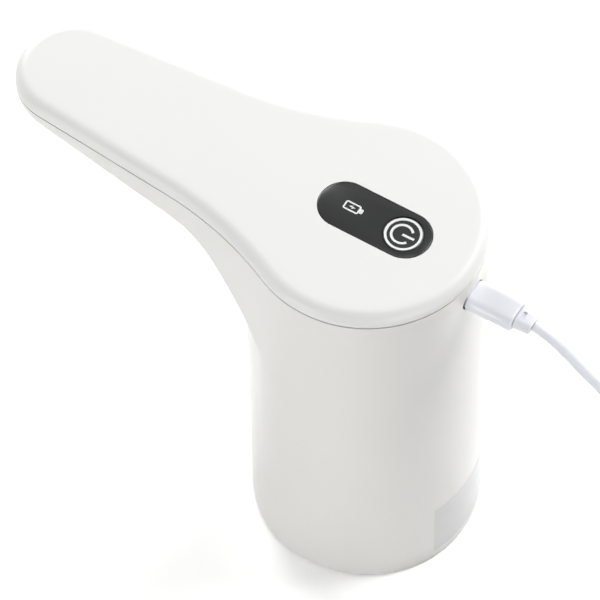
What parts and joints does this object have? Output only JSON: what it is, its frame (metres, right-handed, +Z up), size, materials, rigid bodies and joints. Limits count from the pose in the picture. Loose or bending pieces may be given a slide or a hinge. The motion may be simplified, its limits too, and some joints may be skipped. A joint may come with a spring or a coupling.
{
  "type": "bottled_water_pump",
  "caption": "Electric pump for a large water bottle: a round white body with a flat-lidded spout arm, a black control panel with a round key, and a charging lead in its side port",
  "frame": {"origin": "bottom centre of the pump's own box, without its charging lead, on the surface that it stands on", "axes": "+X along the spout arm's line, away from the spout and towards the charging port; +Y across the body; +Z up"},
  "size_m": [0.2687, 0.0918, 0.1525],
  "materials": {
    "lid_white": "satin",
    "shell_white": "satin",
    "panel_black": "gloss",
    "key_black": "gloss",
    "inner_plastic": "matte",
    "collar_plastic": "satin",
    "silicone": "matte",
    "board_green": "satin",
    "chip_black": "matte",
    "stainless": "brushed",
    "plated_steel": "satin",
    "motor_steel": "satin",
    "cell_wrap": "gloss",
    "lead_white": "satin"
  },
  "bodies": {
    "housing": {"main_housing": "shell_white", "top_cover": "lid_white", "control_panel": "panel_black", "tact_switch": "plated_steel", "control_board": "board_green", "battery_lamp": "silicone", "board_screw_1": "plated_steel", "board_screw_2": "plated_steel", "bottle_collar": "collar_plastic", "neck_seal": "silicone", "frame_screw_1": "plated_steel", "frame_screw_2": "plated_steel", "frame_screw_3": "plated_steel", "inner_frame": "inner_plastic", "pump_head": "inner_plastic", "pump_motor": "motor_steel", "motor_endbell": "chip_black", "intake_barb": "collar_plastic", "battery_holder": "inner_plastic", "battery_cell": "cell_wrap", "contact_lower": "plated_steel", "contact_upper": "plated_steel", "outlet_elbow": "inner_plastic", "outlet_hose": "silicone", "spout_nozzle": "stainless", "spout_washer": "silicone", "charge_board": "board_green", "charge_socket": "plated_steel"},
    "key": {"power_key": "key_black", "switch_plunger": "chip_black"},
    "rotor": {"motor_shaft": "plated_steel", "drive_cam": "inner_plastic"},
    "charging_lead": {"charge_plug": "lead_white", "plug_blade": "plated_steel", "strain_relief": "lead_white", "charge_cord": "lead_white", "cord_coil": "lead_white", "far_relief": "lead_white", "far_plug": "lead_white", "far_blade": "plated_steel"}
  },
  "joints": [
    {"name": "key_press", "type": "slide", "parent": "housing", "child": "key", "axis": [0, 0, -1], "range_m": [0, 0.0005], "stiffness_N_per_m": 350},
    {"name": "motor_spin", "type": "hinge", "parent": "housing", "child": "rotor", "pos_m": [0.0352, 0, 0.0666], "axis": [0, 0, 1], "continuous": true},
    {"name": "lead_pull", "type": "slide", "parent": "housing", "child": "charging_lead", "axis": [1, 0, 0], "range_m": [0, 0.012]}
  ]
}
